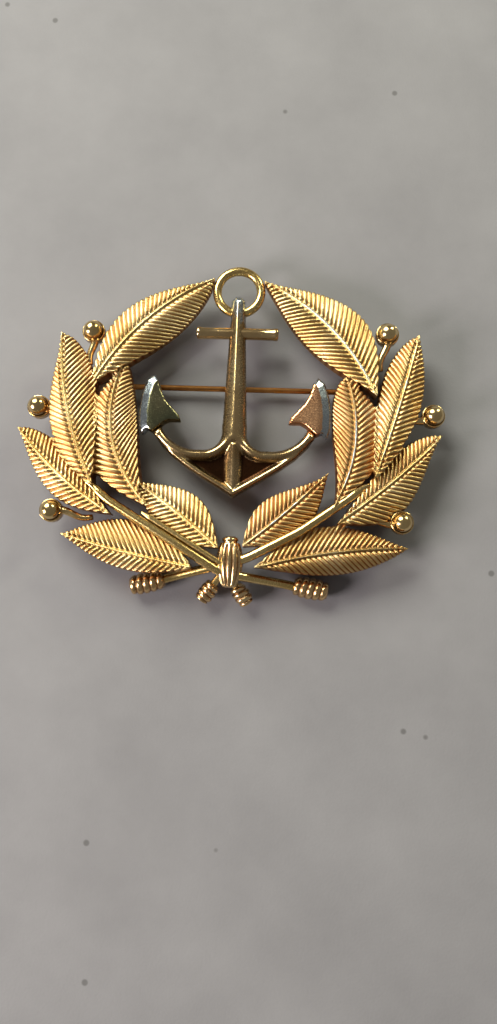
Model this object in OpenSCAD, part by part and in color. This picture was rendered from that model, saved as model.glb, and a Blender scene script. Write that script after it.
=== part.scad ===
// Naval cap badge: two laurel sprays tied at the foot, an open centre with an
// anchor hung by its ring, and a hinged pin with a turning safety catch behind.
// The badge lies on its fastener: Z = 0 is the rest plane, +Z comes out of the
// face and +Y runs up to the anchor ring.

/* [Wreath] */
// Width over the outermost leaf tips
wreath_w = 62; // [52:1:74]
// Height from the stem ends to the top of the ring
wreath_h = 50; // [42:1:60]
// Shift of the anchor and tie from the middle of the width
axis_x = 0.7; // [0:0.1:1]

/* [Leaves] */
// Thickness of a leaf at the foot of its midrib
leaf_t = 2.9; // [2.4:0.1:3.6]
// Fall of the domed face from the midrib to the widest edge
leaf_dome = 1.2; // [0.8:0.1:1.6]
// Slope of a leaf down towards its tip, in degrees
leaf_dip = 3; // [1:0.5:4]
// Radius of the raised midrib
midrib_r = 0.32; // [0.2:0.02:0.5]

/* [Berries] */
// Radius of a berry
berry_r = 1.4; // [1:0.05:1.6]
// Radius of the cup that the berry sits in
cup_r = 1.7; // [1.2:0.05:1.9]
// Radius of a berry stalk
stalk_r = 0.4; // [0.3:0.05:0.5]

/* [Stems and tie] */
// Radius of the two main stems
stem_r = 0.66; // [0.5:0.02:0.8]
// Radius of the two short stems
short_stem_r = 0.55; // [0.4:0.05:0.6]
// Radius of the thin twig beside the left main stem
twig_r = 0.4; // [0.3:0.02:0.46]
// Radius of the bound stem ends
stem_end_r = 1.6; // [1.4:0.05:1.8]
// Length of the bound stem ends at the sides
stem_end_l = 5.2; // [4:0.25:6]
// Length of the bound stem ends in the middle
short_end_l = 3.2; // [2.5:0.1:4]
// Depth of the socket that takes a stem
socket_l = 1.2; // [0.8:0.1:1.6]
// Radius of the tie at its middle
tie_r = 1.9; // [1.5:0.05:2.2]
// Radius of the tie at its two ends
tie_end_r = 0.9; // [0.6:0.05:1.2]
// Length of the tie
tie_l = 7.4; // [6:0.2:9]

/* [Anchor] */
// Length of the anchor from the crown point to the shank top
anchor_l = 30.1; // [26:0.2:32]
// Width of the shank at its top
shank_top_w = 2; // [1.6:0.1:2.6]
// Width of the shank where it runs into the arms
shank_foot_w = 3.9; // [3:0.1:4.6]
// Thickness of the anchor at its ridge
anchor_t = 2.6; // [2.2:0.1:3.2]
// Thickness of the anchor at its edges
anchor_edge_t = 1.5; // [1:0.1:2]
// Outer radius of the ring
ring_r = 3.95; // [3.4:0.05:4.4]
// Radius of the ring's wire
ring_wire_r = 0.68; // [0.4:0.01:0.7]
// Radius of the stock rod
stock_r = 0.92; // [0.6:0.02:1.1]
// Length of the stock rod
stock_l = 12.1; // [10:0.1:14]
// Distance of the stock below the shank top
stock_drop = 5.65; // [5:0.1:8]

/* [Pin fastener] */
// Height of the wreath's back over the rest plane
back_z = 3.2; // [3.1:0.05:3.6]
// Radius of the pin wire
pin_r = 0.42; // [0.3:0.01:0.48]
// Distance from the hinge rivet to the pin's point
pin_l = 39.2; // [36:0.2:42]
// Length of the pin's ground point
pin_point_l = 5; // [3:0.5:8]
// Radius of the eye at the pin's hinge end
pin_eye_r = 0.95; // [0.8:0.05:1.1]
// Width of the eye between the hinge cheeks
pin_eye_w = 1.3; // [1:0.1:1.8]
// Radius of the hinge rivet
rivet_r = 0.35; // [0.25:0.01:0.42]
// Thickness of the hinge and catch plates
plate_t = 0.45; // [0.3:0.05:0.6]
// Length of the catch housing
catch_l = 3; // [2.4:0.1:4]
// Width of the slots that the pin drops through
slot_w = 1.06; // [1:0.02:1.2]
// Length of the roller's thumb tab
tab_l = 2.5; // [2:0.1:3]

/* [Fits] */
// Running clearance on the radius of the rivet and the catch roller
run_gap = 0.04; // [0.02:0.01:0.08]
// Solder gap between pieces of the wreath and anchor
solder_gap = 0.03; // [0.02:0.01:0.05]
// Side clearance between the pin's eye and the hinge cheeks
side_gap = 0.08; // [0.05:0.01:0.15]

/* [Hidden] */
// The leaves, berries and stems are laid out on a grid of this width and height
// and stretched to the badge's own size.
grid = [62, 50];
stretch = [wreath_w / grid[0], wreath_h / grid[1]];
spread = (stretch[0] + stretch[1]) / 2;

round_fn = 64;
eps = 0.01;
top_z = back_z + 2 * leaf_t;

// A leaf row holds its tip and its foot, the bow of its midrib to the left of
// the way from tip to foot, the left half-width and where along that way it is
// widest, the same for the right half, and its lift over the lowest leaves.
left_leaves = [
    [[-2.9, 23.1], [-20.4, 6.2], -2.1, 4.4, 0.43, 3.5, 0.56, 0],
    [[-25.2, 14.2], [-19.3, -8.6], -1.4, 4.5, 0.36, 3.1, 0.6, 0.5],
    [[-30.9, -0.2], [-16.6, -12.6], -0.9, 3.2, 0.38, 2.9, 0.55, 0],
    [[-15.5, 10.2], [-11.0, -11.6], -3.8, 3.8, 0.42, 4.8, 0.52, 0.2],
    [[-13.6, -7.6], [-1.0, -17.0], 0.3, 3.7, 0.55, 3.6, 0.53, 0.2],
    [[-23.8, -15.6], [-4.2, -20.0], -0.2, 4.9, 0.5, 2.5, 0.5, 0]
];
right_leaves = [
    [[4.3, 22.9], [21.2, 5.6], 2.25, 4.9, 0.58, 4.3, 0.49, 0],
    [[27.3, 15.0], [21.0, -6.4], 0.3, 3.2, 0.48, 3.3, 0.36, 0.5],
    [[30.8, 0.2], [15.9, -13.0], 0.5, 4.3, 0.6, 2.9, 0.36, 0],
    [[16.7, 8.5], [15.4, -10.6], 2.2, 4.6, 0.45, 3.4, 0.36, 0.2],
    [[14.5, -5.7], [2.5, -16.7], 0.3, 3.9, 0.52, 3.4, 0.62, 0.2],
    [[26.1, -16.2], [4.2, -19.6], -0.7, 3.2, 0.45, 4.0, 0.53, 0]
];
// For each leaf of a spray, the leaves that lie over it
leaves_over = [[2, 4], [], [2, 4], [2, 5], [], [3, 5]];

// A berry row holds its centre and the point where its stalk leaves the spray
left_berries = [
    [[-20.7, 14.7], [-20.6, 9.6]],
    [[-28.2, 3.1], [-23.6, 1.6]],
    [[-25.5, -12.2], [-19.2, -12.6]]
];
right_berries = [
    [[22.8, 15.3], [22.2, 9.6]],
    [[29.6, 3.2], [24.6, 1.4]],
    [[25.2, -12.5], [19.6, -13.0]]
];
berry_z = back_z + 1.7;
stalk_z = back_z + stalk_r + 0.3;

// Each main stem runs down its own spray, under the tie and out to the far
// side, where its cut end is bound. The two change height under the tie.
stem_z = back_z + leaf_t - stem_r + 0.3;
left_stem = [[-20.3, -7.6, -0.5], [-17.6, -10.3, -0.3], [-0.4, -20.5, 0.2]];
right_stem = [[20.2, -7.0, -0.5], [17.4, -9.4, -0.3], [10.6, -14.3, 0], [3.0, -18.4, -0.1]];
left_end = [12.5, -22.3];
right_end = [-11.4, -22.1];
stem_end_z = stem_end_r;
level_l = 1.3;
// A stem is a little thicker where it bends
knot = 0.1;
// The twig's two ends, as shares of the stem's long stretch
twig_from = 0.28;
twig_to = 0.98;
short_ends = [[-2.5, -23.2], [2.5, -23.5]];
short_feet = [[-0.7, -20.8], [0.7, -21.1]];
short_end_z = stem_end_r + 0.4;
short_end_r = stem_end_r - 0.3;

tie_y = at(0, -18.9)[1];
tie_z = back_z + 1.75;

ring_y = at(0, 21.4)[1];
ring_z = back_z + ring_wire_r;
ring_mid_r = ring_r - ring_wire_r;
shank_top_y = ring_y - 0.9;
crown_y = shank_top_y - anchor_l;
stock_y = shank_top_y - stock_drop;
stock_z = back_z + stock_r + 0.25;

pin_y = at(0, 7.2)[1];
// The pin runs this far behind the wreath's back
pin_drop = 1.7;
pin_z = back_z - pin_drop;
hinge_x = -18 * stretch[0];
catch_r = pin_z;
housing_wall = 0.38;
roller_r = catch_r - housing_wall;
pin_play = 0.13;
roller_bore_r = pin_r + pin_play;
// The pin's point stands this far out of the catch
point_reach = 1.2;
catch_x = hinge_x + pin_l - catch_l - point_reach;
collar_t = 0.4;
collar_r = catch_r - 0.1;
hinge_plate_l = 5;
cheek_t = 0.5;
plate_margin = 0.8;
plate_w = pin_eye_w + 2 * (side_gap + cheek_t + plate_margin);
rivet_head_t = 0.25;
rivet_head_r = rivet_r + rivet_head_t;

// The dome and midrib are swept this far past a leaf's two ends, then cut off
midrib_overrun = 2.5;
leaf_count = len(leaves_over);
berry_count = len(left_berries);
leaf_numbers = [for (i = [1 : leaf_count]) i];
berry_numbers = [for (i = [1 : berry_count]) i];

// A grid point stretched to the badge's size
function at(x, y) = [x * stretch[0], y * stretch[1]];
function spot(p) = at(p[0], p[1]);

// Radius of a midrib's arc and the height of its centre over the straight line
// from tip to foot
function bow_r(l, b) = (l * l / 4 + b * b) / (2 * abs(b));
function bow_y(l, b) = b - sign(b) * bow_r(l, b);
function midrib_y(l, b, x) = bow_y(l, b) + sign(b) * sqrt(pow(bow_r(l, b), 2) - pow(x - l / 2, 2));

// Half-width of a leaf at share t of its length, widest at share peak
function half_width(w, peak, t) = w * sin(180 * pow(t, ln(0.5) / ln(peak)));

leaf_shares = [0.04, 0.09, 0.15, 0.22, 0.3, 0.38, 0.46, 0.54, 0.62, 0.7, 0.78, 0.85, 0.91, 0.96];

function leaf_length(row) = norm(spot(row[1]) - spot(row[0]));
function leaf_outline(row, grow) =
    let (l = leaf_length(row), b = row[2] * spread, n = len(leaf_shares) - 1)
    concat(
        [[-grow, 0]],
        [for (t = leaf_shares)
            [t * l, midrib_y(l, b, t * l) + half_width(row[3] * spread, row[4], t) + grow]],
        [[l + grow, 0]],
        [for (i = [n : -1 : 0]) let (t = leaf_shares[i])
            [t * l, midrib_y(l, b, t * l) - half_width(row[5] * spread, row[6], t) - grow]]
    );

// Moves a leaf's own frame, with X from tip to foot, to its place
module leaf_place(row) {
    way = spot(row[1]) - spot(row[0]);
    translate(spot(row[0]))
        rotate([0, 0, atan2(way[1], way[0])])
            children();
}

module leaf_prism(row, grow) {
    leaf_place(row)
        translate([0, 0, back_z - grow])
            linear_extrude(top_z)
                polygon(leaf_outline(row, grow));
}

// Sweeps a flat shape, drawn round the midrib, along the midrib's arc
module along_midrib(row) {
    l = leaf_length(row);
    b = row[2] * spread;
    r = bow_r(l, b);
    half = asin(l / 2 / r) + 180 / PI * midrib_overrun / r;
    leaf_place(row)
        translate([l, 0, 0])
            rotate([0, -leaf_dip, 0])
                translate([-l / 2, bow_y(l, b), 0])
                    rotate([0, 0, sign(b) * 90 - half])
                        rotate_extrude(angle = 2 * half, $fn = round(24 * 360 / (2 * half)))
                            translate([r, 0])
                                children();
}

module leaf(rows, i) {
    row = rows[i];
    w = max(row[3], row[5]) * spread;
    dome_r = (w * w + leaf_dome * leaf_dome) / (2 * leaf_dome);
    crest = back_z + leaf_t + row[7];
    side = sign(row[0][0]);
    color("gold")
        difference() {
            intersection() {
                leaf_prism(row, 0);
                union() {
                    along_midrib(row)
                        translate([0, crest - dome_r])
                            circle(dome_r, $fn = 2 * round_fn);
                    along_midrib(row)
                        translate([0, crest - midrib_r / 3])
                            circle(midrib_r, $fn = 24);
                }
            }
            for (j = leaves_over[i]) leaf_prism(rows[j - 1], solder_gap);
            main_stem(-1, solder_gap);
            main_stem(1, solder_gap);
            thin_twig(solder_gap);
            tie_body(solder_gap);
            ring_clearance();
            berries = side < 0 ? left_berries : right_berries;
            for (berry = berries) berry_body(berry, solder_gap);
        }
}

module ring_clearance() {
    translate([axis_x, ring_y, 0])
        cylinder(h = 2 * top_z, r = ring_r + solder_gap, $fn = round_fn);
}

// A rod of round wire through a row of points
module rod(points, r) {
    for (i = [1 : len(points) - 1]) {
        way = points[i] - points[i - 1];
        translate(points[i - 1])
            rotate([0, acos(way[2] / norm(way)), atan2(way[1], way[0])])
                cylinder(h = norm(way), r = r, $fn = round_fn);
    }
    // A ball rounds each bend, its seam turned clear of both rods
    for (i = [1 : 1 : len(points) - 2]) {
        way = points[i + 1] - points[i - 1];
        translate(points[i])
            rotate([0, 0, atan2(way[1], way[0]) - 90])
                sphere(r + knot, $fn = round_fn);
    }
}

// A berry in its cup, with the stalk that runs down into the spray
module berry_body(row, grow) {
    ball = concat(spot(row[0]), [berry_z]);
    foot = concat(spot(row[1]), [stalk_z]);
    translate(ball) sphere(berry_r + grow, $fn = round_fn);
    translate(concat(spot(row[0]), [back_z - grow]))
        cylinder(h = berry_z - back_z - 0.3 + 2 * grow, r = cup_r + grow, $fn = round_fn);
    rod([concat(spot(row[0]), [stalk_z]), foot], stalk_r + grow);
}

module berry(row) {
    color("goldenrod") berry_body(row, 0);
}

// A main stem's bends, then its level last stretch into the bound end
function stem_points(side) =
    let (
        bends = side < 0 ? left_stem : right_stem,
        end = spot(side < 0 ? left_end : right_end),
        way = end - spot(bends[len(bends) - 1]),
        last_bend = end - way / norm(way) * (stem_end_l / 2 + level_l)
    )
    concat(
        [for (p = bends) concat(spot(p), [stem_z + p[2]])],
        [concat(last_bend, [stem_end_z]), concat(end, [stem_end_z])]
    );

module main_stem(side, grow) {
    rod(stem_points(side), stem_r + grow);
}

// The thin twig lies along the upper side of the left main stem
module thin_twig(grow) {
    bends = stem_points(-1);
    way = bends[2] - bends[1];
    across = [-way[1], way[0], 0] / norm([way[0], way[1]]);
    beside = across * (stem_r + twig_r + 2 * solder_gap);
    rod([bends[1] + twig_from * way + beside, bends[1] + twig_to * way + beside], twig_r + grow);
}

module twig_left() {
    color("khaki") thin_twig(0);
}

module stem(side) {
    color("gold")
        difference() {
            main_stem(side, 0);
            stem_socket_stop(side);
        }
}

// Cuts a main stem off at the bottom of its socket
module stem_socket_stop(side) {
    stem_end_place(side)
        translate([0, 0, socket_l])
            cylinder(h = stem_end_l, r = stem_end_r, $fn = round_fn);
}

// Puts a piece drawn along +Z at the mouth of a main stem's bound end
module stem_end_place(side) {
    points = stem_points(side);
    n = len(points) - 1;
    way = points[n] - points[n - 1];
    u = way / norm(way);
    translate(points[n] - u * stem_end_l / 2)
        rotate([0, acos(u[2]), atan2(u[1], u[0])])
            children();
}

// A bound stem end: a barrel with a socket for the stem in its mouth
module bound_end(l, r, bore_r) {
    bulge = 0.25 * r;
    barrel_r = (l * l / 4 + bulge * bulge) / (2 * bulge);
    difference() {
        rotate_extrude($fn = round_fn)
            intersection() {
                translate([r - barrel_r, l / 2]) circle(barrel_r, $fn = 4 * round_fn);
                square([r, l]);
            }
        translate([0, 0, -eps]) cylinder(h = socket_l + eps, r = bore_r, $fn = round_fn);
    }
}

module stem_end(side) {
    color("darkgoldenrod")
        stem_end_place(side)
            bound_end(stem_end_l, stem_end_r, stem_r + solder_gap);
}

function short_mouth(k) = concat(spot(short_ends[k]), [short_end_z]);
function short_foot(k) = concat(spot(short_feet[k]), [back_z - short_stem_r - solder_gap]);

module short_stem(k) {
    way = short_mouth(k) - short_foot(k);
    u = way / norm(way);
    color("gold")
        rod([short_foot(k), short_mouth(k) + u * (socket_l - short_end_l / 2)], short_stem_r);
}

module short_end(k) {
    way = short_mouth(k) - short_foot(k);
    u = way / norm(way);
    color("darkgoldenrod")
        translate(short_mouth(k) - u * short_end_l / 2)
            rotate([0, acos(u[2]), atan2(u[1], u[0])])
                bound_end(short_end_l, short_end_r, short_stem_r + solder_gap);
}

// The tie: a barrel set along Y over the crossed stems, flat behind
module tie_body(grow) {
    sag = tie_r - tie_end_r;
    barrel_r = (tie_l * tie_l / 4 + sag * sag) / (2 * sag);
    translate([axis_x, tie_y, tie_z])
        rotate([90, 0, 0])
            rotate_extrude($fn = round_fn)
                intersection() {
                    translate([tie_r - barrel_r, 0]) circle(barrel_r + grow, $fn = 4 * round_fn);
                    translate([0, -tie_l / 2 - grow]) square([tie_r + 2 * grow, tie_l + 2 * grow]);
                }
}

module tie() {
    color("goldenrod")
        difference() {
            tie_body(0);
            translate([axis_x, tie_y, back_z - tie_l])
                cube([2 * tie_l, 2 * tie_l, 2 * tie_l], center = true);
            main_stem(-1, solder_gap);
            main_stem(1, solder_gap);
            thin_twig(solder_gap);
        }
}

// ---- Anchor ----
// The anchor's outlines are drawn for its right half, as points measured from
// the middle line and from the crown point, and mirrored for the left half.
outer_edge = [[1.9, 1.2], [4.3, 2.6], [6.7, 4.1], [9.0, 5.8], [10.6, 7.4]];
arm_end_out = [11.9, 9.3];
arm_end_in = [10.3, 10.7];
throat_low = 6.9;
throat_mid = [5.5, 12.6];
fillet_r = 2.6;
// The shank widens by this much each side as it runs into the arms
foot_flare = 0.15;
fluke_inner_edge = [
    [12.0, 17.9], [11.3, 16.8], [10.8, 15.2], [10.1, 13.9], [8.2, 11.9], [7.9, 11.1], [9.6, 11.1]
];
fluke_back_edge = [
    [12.8, 9.7], [13.5, 9.0], [13.9, 10.2], [14.0, 12.4], [13.7, 15.0], [13.0, 17.1]
];
fluke_t = 2.4;

function anchor_at(p) = [p[0] * stretch[0], crown_y + p[1]];

module arms_outline() {
    right = concat(outer_edge, [arm_end_out, arm_end_in]);
    difference() {
        polygon(concat(
            [[0, crown_y]],
            [for (p = right) anchor_at(p)],
            [for (i = [len(right) - 1 : -1 : 0]) anchor_at([-right[i][0], right[i][1]])]
        ));
        throat_cut();
        mirror([1, 0]) throat_cut();
    }
}

// Clears the round throat between the shank and one arm
module throat_cut() {
    shank_half = shank_foot_w / 2 - foot_flare;
    fillet = [shank_half + fillet_r, crown_y + throat_low + fillet_r];
    centre = anchor_at(throat_mid);
    translate(fillet) circle(fillet_r, $fn = round_fn);
    translate([shank_half, fillet[1]]) square([fillet_r, anchor_l]);
    intersection() {
        translate(centre) circle(centre[1] - crown_y - throat_low, $fn = 2 * round_fn);
        translate([fillet[0] - eps, crown_y]) square(anchor_l);
    }
}

module shank_outline() {
    half_top = shank_top_w / 2;
    half_foot = shank_foot_w / 2;
    polygon([
        [-half_foot, crown_y + throat_low - 2],
        [half_foot, crown_y + throat_low - 2],
        [half_foot - foot_flare, crown_y + throat_low + fillet_r],
        [half_top, shank_top_y - half_top],
        [-half_top, shank_top_y - half_top],
        [-half_foot + foot_flare, crown_y + throat_low + fillet_r]
    ]);
    translate([0, shank_top_y - half_top]) circle(half_top, $fn = round_fn);
}

// A slab with a roof ridge on the middle line, which gives the anchor its facets
module ridge_slab() {
    half = shank_foot_w / 2;
    reach = wreath_w / 4;
    edge_z = back_z + anchor_edge_t;
    translate([0, shank_top_y + 1, 0])
        rotate([90, 0, 0])
            linear_extrude(anchor_l + 2)
                polygon([
                    [-reach, back_z],
                    [reach, back_z],
                    [reach, edge_z],
                    [half, edge_z],
                    [0, back_z + anchor_t],
                    [-half, edge_z],
                    [-reach, edge_z]
                ]);
}

module anchor_shank() {
    color("khaki")
        translate([axis_x, 0, 0])
            difference() {
                intersection() {
                    translate([0, 0, back_z - 1])
                        linear_extrude(anchor_t + 2)
                            union() {
                                shank_outline();
                                arms_outline();
                            }
                    ridge_slab();
                }
                stock_rod(solder_gap, 2 * stock_l);
                translate([0, ring_y, ring_z]) ring_body(solder_gap);
            }
}

module stock_rod(grow, l) {
    translate([-l / 2, stock_y, stock_z])
        rotate([0, 90, 0])
            cylinder(h = l, r = stock_r + grow, $fn = round_fn);
}

module anchor_stock() {
    color("gold")
        translate([axis_x, 0, 0]) stock_rod(0, stock_l);
}

module ring_body(grow) {
    rotate_extrude($fn = 2 * round_fn)
        translate([ring_mid_r, 0]) circle(ring_wire_r + grow, $fn = round_fn);
}

module anchor_ring() {
    color("gold")
        translate([axis_x, ring_y, ring_z]) ring_body(0);
}

// A fluke: a shield-shaped palm across the end of an arm
module fluke(side) {
    seat = [solder_gap, solder_gap];
    outline = concat(fluke_inner_edge, [arm_end_in + seat, arm_end_out + seat], fluke_back_edge);
    inner_leaf = side < 0 ? left_leaves[3] : right_leaves[3];
    color("burlywood")
        difference() {
            translate([axis_x, 0, back_z])
                linear_extrude(fluke_t)
                    polygon([for (p = outline) anchor_at([side * p[0], p[1]])]);
            leaf_prism(inner_leaf, solder_gap);
        }
}

// ---- Pin fastener ----
// A cylinder along Y, centred on y = 0
module cross_rod(l, r) {
    translate([0, l / 2, 0])
        rotate([90, 0, 0])
            cylinder(h = l, r = r, $fn = round_fn);
}

// A plate soldered flat to the back of the wreath, from x0 to x1
module back_plate(x0, x1, w) {
    translate([x0, pin_y - w / 2, back_z - solder_gap - plate_t])
        cube([x1 - x0, w, plate_t]);
}

module hinge_bracket() {
    cheek_y = pin_eye_w / 2 + side_gap + cheek_t / 2;
    color("silver") {
        difference() {
            union() {
                back_plate(hinge_x - hinge_plate_l / 2, hinge_x + hinge_plate_l / 2, plate_w);
                for (s = [-1, 1])
                    translate([hinge_x, pin_y + s * cheek_y, pin_z]) {
                        cross_rod(cheek_t, pin_z);
                        translate([-pin_z, -cheek_t / 2, 0])
                            cube([2 * pin_z, cheek_t, back_z - solder_gap - plate_t / 2 - pin_z]);
                    }
            }
            translate([hinge_x, pin_y, pin_z]) cross_rod(2 * plate_w, rivet_r + solder_gap);
        }
    }
}

module hinge_rivet() {
    grip = pin_eye_w + 2 * side_gap + 2 * cheek_t + 2 * solder_gap;
    color("silver")
        translate([hinge_x, pin_y, pin_z]) {
            cross_rod(grip + 2 * rivet_head_t, rivet_r);
            for (s = [-1, 1])
                translate([0, s * (grip + rivet_head_t) / 2, 0])
                    cross_rod(rivet_head_t, rivet_head_r);
        }
}

module pin_stem() {
    straight_l = pin_l - pin_point_l;
    color("goldenrod")
        translate([hinge_x, pin_y, pin_z])
            difference() {
                union() {
                    cross_rod(pin_eye_w, pin_eye_r);
                    rotate([0, 90, 0]) cylinder(h = straight_l, r = pin_r, $fn = round_fn);
                    translate([straight_l, 0, 0])
                        rotate([0, 90, 0])
                            cylinder(h = pin_point_l, r1 = pin_r, r2 = pin_r / 5, $fn = round_fn);
                }
                cross_rod(2 * pin_eye_w, rivet_r + run_gap);
            }
}

// The open side of the catch, wide enough for the pin to drop through
module catch_slot(x0, l) {
    translate([x0, -slot_w / 2, -2 * catch_r])
        cube([l, slot_w, 2 * catch_r]);
}

module catch_housing() {
    neck_w = 1.6 * catch_r;
    color("silver")
        difference() {
            union() {
                back_plate(catch_x, catch_x + catch_l, plate_w);
                translate([catch_x, pin_y - neck_w / 2, pin_z])
                    cube([catch_l, neck_w, back_z - solder_gap - plate_t / 2 - pin_z]);
                translate([catch_x, pin_y, pin_z])
                    rotate([0, 90, 0])
                        cylinder(h = catch_l, r = catch_r, $fn = round_fn);
            }
            translate([catch_x - 1, pin_y, pin_z]) {
                rotate([0, 90, 0])
                    cylinder(h = catch_l + 2, r = roller_r + run_gap, $fn = round_fn);
                catch_slot(0, catch_l + 2);
            }
        }
}

// The slotted roller inside the housing, with a collar at each end and a tab
module catch_roller() {
    reach = collar_t + side_gap;
    color("lightgrey")
        translate([catch_x, pin_y, pin_z])
            difference() {
                union() {
                    translate([-reach, 0, 0])
                        rotate([0, 90, 0])
                            cylinder(h = catch_l + 2 * reach, r = roller_r, $fn = round_fn);
                    for (x = [-reach, catch_l + side_gap])
                        translate([x, 0, 0])
                            rotate([0, 90, 0])
                                cylinder(h = collar_t, r = collar_r, $fn = round_fn);
                    translate([catch_l + side_gap, 0, -0.5])
                        cube([collar_t, tab_l, 1]);
                }
                translate([-reach - 1, 0, 0]) {
                    rotate([0, 90, 0])
                        cylinder(h = catch_l + 2 * reach + 2, r = roller_bore_r, $fn = round_fn);
                    catch_slot(0, catch_l + 2 * reach + 2);
                }
            }
}

for (i = leaf_numbers) {
    leaf(left_leaves, i - 1);
    leaf(right_leaves, i - 1);
}
for (i = berry_numbers) {
    berry(left_berries[i - 1]);
    berry(right_berries[i - 1]);
}
stem(-1);  // stem_left
stem(1);  // stem_right
twig_left();
short_stem(0);  // short_stem_left
short_stem(1);  // short_stem_right
stem_end(1);  // stem_end_left
stem_end(-1);  // stem_end_right
short_end(0);  // short_end_left
short_end(1);  // short_end_right
tie();
anchor_shank();
anchor_stock();
anchor_ring();
fluke(-1);  // fluke_left
fluke(1);  // fluke_right
hinge_bracket();
hinge_rivet();
pin_stem();
catch_housing();
catch_roller();
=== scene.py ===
import math

import bmesh
import bpy
import numpy as np
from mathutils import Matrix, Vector
from mathutils.bvhtree import BVHTree
from mathutils.geometry import delaunay_2d_cdt


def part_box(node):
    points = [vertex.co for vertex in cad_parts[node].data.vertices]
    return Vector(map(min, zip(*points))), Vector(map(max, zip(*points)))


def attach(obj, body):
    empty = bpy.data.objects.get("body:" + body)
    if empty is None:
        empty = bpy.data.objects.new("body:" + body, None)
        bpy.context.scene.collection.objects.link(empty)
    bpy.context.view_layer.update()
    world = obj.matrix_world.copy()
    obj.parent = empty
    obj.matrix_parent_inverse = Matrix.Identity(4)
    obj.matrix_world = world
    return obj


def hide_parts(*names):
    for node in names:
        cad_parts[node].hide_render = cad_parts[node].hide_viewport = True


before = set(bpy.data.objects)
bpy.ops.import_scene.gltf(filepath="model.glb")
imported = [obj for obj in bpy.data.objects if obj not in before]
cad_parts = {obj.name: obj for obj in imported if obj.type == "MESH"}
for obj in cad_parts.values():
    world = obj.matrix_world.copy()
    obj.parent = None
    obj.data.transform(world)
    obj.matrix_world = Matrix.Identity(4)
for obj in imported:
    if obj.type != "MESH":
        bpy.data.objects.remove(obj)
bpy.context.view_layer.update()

# ---- Table top, light and camera ----
# The badge lies face up on a sheet of plain warm grey card, under soft window
# light from the upper left, and is looked at from above its lower half.
MM = 0.001
scene = bpy.context.scene
scene.view_settings.view_transform = "Standard"


def linear(hexes):
    """An sRGB colour such as "c8a25a" as linear red, green, blue and alpha."""
    parts = [int(hexes[i : i + 2], 16) / 255 for i in (0, 2, 4)]
    return [c / 12.92 if c <= 0.04045 else ((c + 0.055) / 1.055) ** 2.4 for c in parts] + [1.0]


def add(tree, kind, settings=None, **links):
    """Adds a node. Settings are its properties; links are input sockets, set to a value or an output."""
    node = tree.nodes.new(kind)
    for name, value in (settings or {}).items():
        setattr(node, name, value)
    for name, value in links.items():
        key = int(name[1:]) if name[0] == "i" and name[1:].isdigit() else name.replace("_", " ")
        socket = node.inputs[key]
        if isinstance(value, bpy.types.NodeSocket):
            tree.links.new(value, socket)
        else:
            socket.default_value = value
    return node


def ramp(tree, factor, stops):
    """A colour ramp over a factor, from (position, hex colour) stops."""
    node = add(tree, "ShaderNodeValToRGB", i0=factor)
    while len(node.color_ramp.elements) < len(stops):
        node.color_ramp.elements.new(0.5)
    for element, (place, hexes) in zip(node.color_ramp.elements, stops):
        element.position, element.color = place, linear(hexes)
    return node.outputs[0]


def new_material(name):
    """An empty node material with its Principled shader, its tree and object coordinates."""
    made = bpy.data.materials.new(name)
    made.use_nodes = True
    tree = made.node_tree
    shader = tree.nodes["Principled BSDF"]
    where = add(tree, "ShaderNodeTexCoord").outputs["Object"]
    return made, tree, shader, where


def mesh_object(name, points, faces, material, smooth=True):
    """A mesh piece from points in metres and faces."""
    mesh = bpy.data.meshes.new(name)
    mesh.from_pydata([tuple(p) for p in points], [], faces)
    mesh.materials.append(material)
    mesh.polygons.foreach_set("use_smooth", [smooth] * len(faces))
    made = bpy.data.objects.new(name, mesh)
    scene.collection.objects.link(made)
    return made


# Card: uncoated grey board. Its fibres give a faint mottle and no shine.
card, tree, shader, where = new_material("grey_card")
mottle = add(tree, "ShaderNodeTexNoise", Vector=where, Scale=45.0, Detail=6.0, Roughness=0.6).outputs[0]
fibre = add(tree, "ShaderNodeTexNoise", Vector=where, Scale=2600.0, Detail=3.0).outputs[0]
plain = ramp(tree, mottle, [(0.3, "7a787c"), (0.7, "868488")])
spots = add(tree, "ShaderNodeTexVoronoi", Vector=where, Scale=110.0).outputs["Distance"]
fleck = add(tree, "ShaderNodeMapRange", i0=spots, i1=0.035, i2=0.06, i3=0.55, i4=0.0).outputs[0]
dark_speck = linear("3c3a38")
speckled = add(tree, "ShaderNodeMix", {"data_type": "RGBA"}, i0=fleck, i6=plain, i7=dark_speck).outputs[2]
tree.links.new(speckled, shader.inputs["Base Color"])
shader.inputs["Roughness"].default_value = 0.85
grain = add(tree, "ShaderNodeBump", Height=fibre, Strength=0.25, Distance=0.00008)
tree.links.new(grain.outputs[0], shader.inputs["Normal"])

CARD_HALF = 1.2
CARD_CORNERS = [(x * CARD_HALF, y * CARD_HALF, 0) for x, y in ((-1, -1), (1, -1), (1, 1), (-1, 1))]
floor = mesh_object("card_sheet", CARD_CORNERS, [(0, 1, 2, 3)], card)


def soft_light(name, place, aim, size, watts, hexes):
    """A square area light at a place, aimed at a point, in metres."""
    data = bpy.data.lights.new(name, "AREA")
    data.shape, data.size, data.energy, data.color = "SQUARE", size, watts, linear(hexes)[:3]
    lamp = bpy.data.objects.new(name, data)
    lamp.location = place
    lamp.rotation_euler = (Vector(aim) - Vector(place)).to_track_quat("-Z", "Y").to_euler()
    scene.collection.objects.link(lamp)


soft_light("window", (-0.24, 0.33, 0.32), (0, 0, 0), 0.28, 3.9, "fdffee")
soft_light("low_left", (-0.34, -0.16, 0.20), (0, 0, 0), 0.14, 1.9, "fff6f2")
soft_light("high_right", (0.26, 0.32, 0.20), (0, 0, 0), 0.10, 0.7, "f8fad8")

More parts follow.
